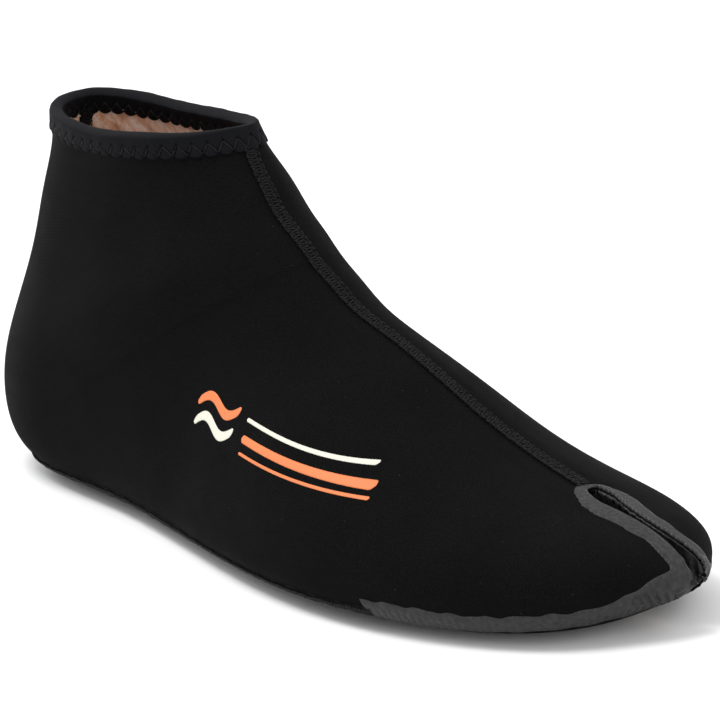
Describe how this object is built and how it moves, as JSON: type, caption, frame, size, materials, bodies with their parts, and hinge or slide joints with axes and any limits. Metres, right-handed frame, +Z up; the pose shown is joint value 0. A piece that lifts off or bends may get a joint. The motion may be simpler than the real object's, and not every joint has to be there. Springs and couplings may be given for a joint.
{
  "type": "split-toe neoprene boot",
  "caption": "Ankle-high split-toe neoprene water boot for the right foot, fleece lined, with stitched collar binding, flatlock seams and rubber-sealed toe seams",
  "frame": {"origin": "middle of the boot's length and width, on the flat face of the sole", "axes": "+X from heel to toe, +Y to the medial side where the big toe is, +Z up the ankle"},
  "size_m": [0.2709, 0.0979, 0.1198],
  "materials": {
    "neoprene_jersey": "matte black stretch jersey bonded to closed-cell neoprene foam",
    "sole_neoprene": "coarser black abrasion-resistant knit on neoprene",
    "fleece_lining": "marled peach and brown brushed fleece",
    "binding_tape": "folded blue-black stretch binding",
    "black_thread": "bulked black sewing thread",
    "liquid_rubber": "dark grey semi-gloss brushed-on rubber sealant",
    "print_orange": "flat orange screen print",
    "print_white": "flat off-white screen print"
  },
  "bodies": {
    "root": {"lateral_upper_panel": "neoprene_jersey", "medial_upper_panel": "neoprene_jersey", "toe_split_gusset": "neoprene_jersey", "sole_panel": "sole_neoprene", "lateral_upper_lining": "fleece_lining", "medial_upper_lining": "fleece_lining", "sole_lining": "fleece_lining", "toe_split_gusset_lining": "fleece_lining", "collar_binding": "binding_tape", "collar_stitching_outside": "black_thread", "collar_stitching_inside": "black_thread", "instep_seam_stitching": "black_thread", "instep_seam_stitching_inside": "black_thread", "heel_seam_stitching": "black_thread", "heel_seam_stitching_inside": "black_thread", "medial_sole_seam_stitching": "black_thread", "lateral_sole_seam_stitching": "black_thread", "toe_split_seal": "liquid_rubber", "medial_toe_seal": "liquid_rubber", "lateral_toe_seal": "liquid_rubber", "printed_wave_orange": "print_orange", "printed_wave_white": "print_white", "printed_stripe_upper": "print_white", "printed_stripe_middle": "print_orange", "printed_stripe_lower": "print_orange"}
  },
  "joints": []
}
